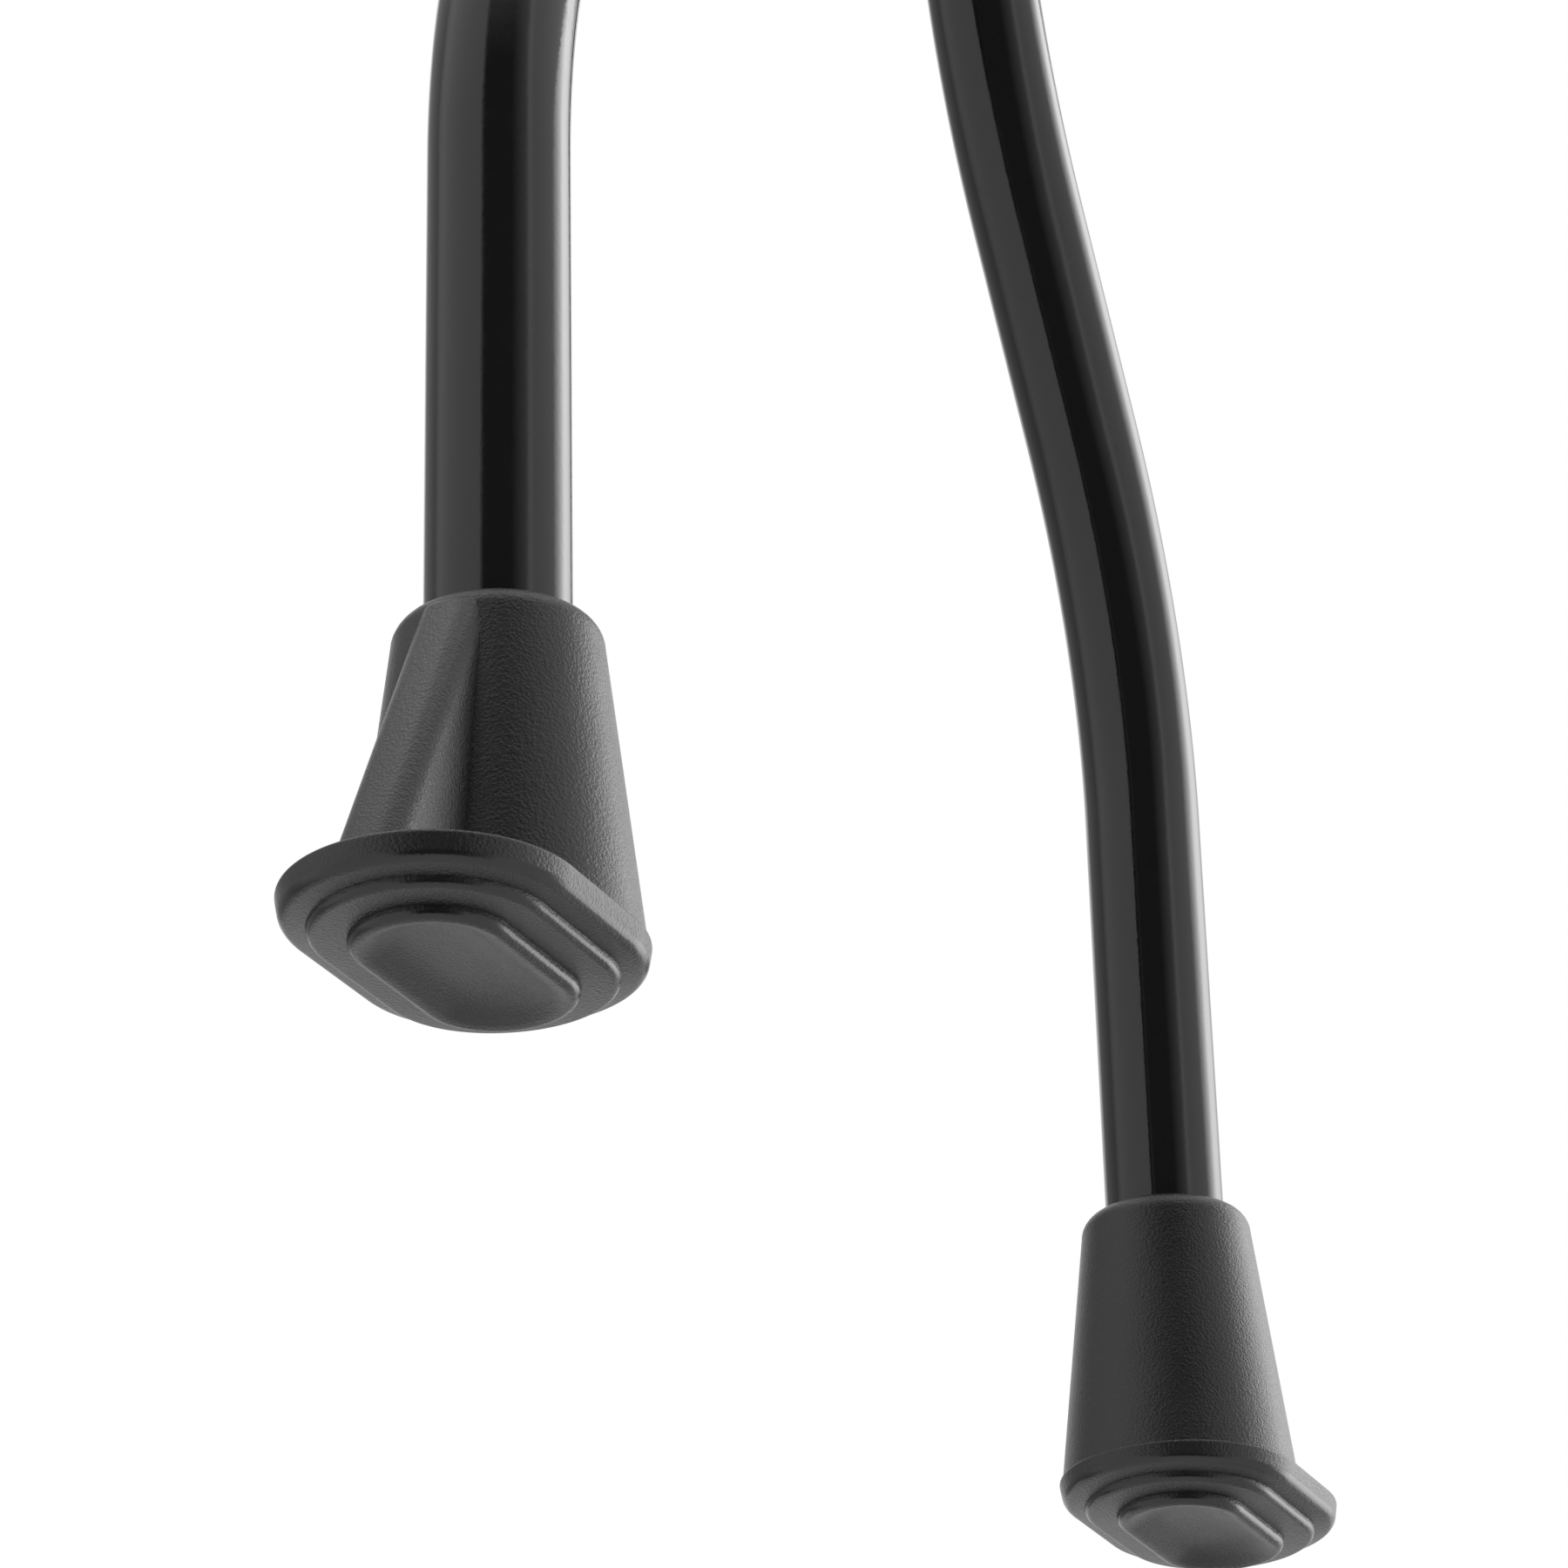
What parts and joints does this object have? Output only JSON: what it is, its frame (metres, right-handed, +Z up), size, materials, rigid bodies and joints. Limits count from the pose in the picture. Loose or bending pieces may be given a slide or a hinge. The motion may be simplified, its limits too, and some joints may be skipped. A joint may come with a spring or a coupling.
{
  "type": "underarm crutch pair",
  "caption": "Pair of height-adjustable underarm crutches with bent black tube legs, stepped rubber feet, double uprights, hand grips and padded saddles.",
  "frame": {"origin": "on the floor, midway between the two feet", "axes": "+X from the left crutch to the right crutch, +Y fore and aft towards the grip bolt heads, +Z up"},
  "size_m": [0.3514, 0.211, 1.22],
  "materials": {
    "black_paint": "gloss",
    "foot_rubber": "satin, fine grain",
    "grip_rubber": "matte",
    "pad_rubber": "matte, soft",
    "grey_plastic": "matte",
    "black_plastic": "satin",
    "zinc_steel": "zinc plated"
  },
  "bodies": {
    "lower_legs": {"left_leg_tube": "black_paint", "left_leg_guide": "grey_plastic", "left_rubber_foot": "foot_rubber", "left_foot_washer": "zinc_steel", "left_snap_spring": "zinc_steel", "right_leg_tube": "black_paint", "right_leg_guide": "grey_plastic", "right_rubber_foot": "foot_rubber", "right_foot_washer": "zinc_steel", "right_snap_spring": "zinc_steel"},
    "left_upper": {"left_leg_sleeve": "black_paint", "left_sleeve_bush": "grey_plastic", "left_sleeve_cap": "black_plastic", "left_front_upright": "black_paint", "left_rear_upright": "black_paint", "left_lower_yoke": "black_plastic", "left_upper_yoke": "black_plastic", "left_yoke_bolts": "zinc_steel", "left_yoke_nuts": "zinc_steel", "left_upright_plugs": "black_plastic", "left_saddle_core": "black_plastic", "left_underarm_pad": "pad_rubber", "left_saddle_screws": "zinc_steel"},
    "left_button": {"left_snap_button": "zinc_steel"},
    "left_grip": {"left_grip_core": "zinc_steel", "left_hand_grip": "grip_rubber", "left_grip_bolt": "zinc_steel", "left_grip_washers": "grey_plastic"},
    "left_wing": {"left_wing_nut": "zinc_steel"},
    "right_upper": {"right_leg_sleeve": "black_paint", "right_sleeve_bush": "grey_plastic", "right_sleeve_cap": "black_plastic", "right_front_upright": "black_paint", "right_rear_upright": "black_paint", "right_lower_yoke": "black_plastic", "right_upper_yoke": "black_plastic", "right_yoke_bolts": "zinc_steel", "right_yoke_nuts": "zinc_steel", "right_upright_plugs": "black_plastic", "right_saddle_core": "black_plastic", "right_underarm_pad": "pad_rubber", "right_saddle_screws": "zinc_steel"},
    "right_button": {"right_snap_button": "zinc_steel"},
    "right_grip": {"right_grip_core": "zinc_steel", "right_hand_grip": "grip_rubber", "right_grip_bolt": "zinc_steel", "right_grip_washers": "grey_plastic"},
    "right_wing": {"right_wing_nut": "zinc_steel"}
  },
  "joints": [
    {"name": "left_height", "type": "slide", "parent": "lower_legs", "child": "left_upper", "axis": [0, 0, 1], "range_m": [0, 0.1524]},
    {"name": "left_button_press", "type": "slide", "parent": "lower_legs", "child": "left_button", "axis": [1, 0, 0], "range_m": [0, 0.0045], "stiffness_N_per_m": 1200, "springref_m": -0.002, "deforming": ["left_snap_spring"]},
    {"name": "left_grip_height", "type": "slide", "parent": "left_upper", "child": "left_grip", "axis": [0, 0, 1], "range_m": [-0.0254, 0.127]},
    {"name": "left_wing_turn", "type": "hinge", "parent": "left_grip", "child": "left_wing", "pos_m": [-0.06495, -0.0736, 0.82093], "axis": [0, 1, 0], "continuous": true},
    {"name": "right_height", "type": "slide", "parent": "lower_legs", "child": "right_upper", "axis": [0, 0, 1], "range_m": [0, 0.1524]},
    {"name": "right_button_press", "type": "slide", "parent": "lower_legs", "child": "right_button", "axis": [-1, 0, 0], "range_m": [0, 0.0045], "stiffness_N_per_m": 1200, "springref_m": -0.002, "deforming": ["right_snap_spring"]},
    {"name": "right_grip_height", "type": "slide", "parent": "right_upper", "child": "right_grip", "axis": [0, 0, 1], "range_m": [-0.0254, 0.127]},
    {"name": "right_wing_turn", "type": "hinge", "parent": "right_grip", "child": "right_wing", "pos_m": [0.06495, -0.0736, 0.82093], "axis": [0, 1, 0], "continuous": true}
  ]
}
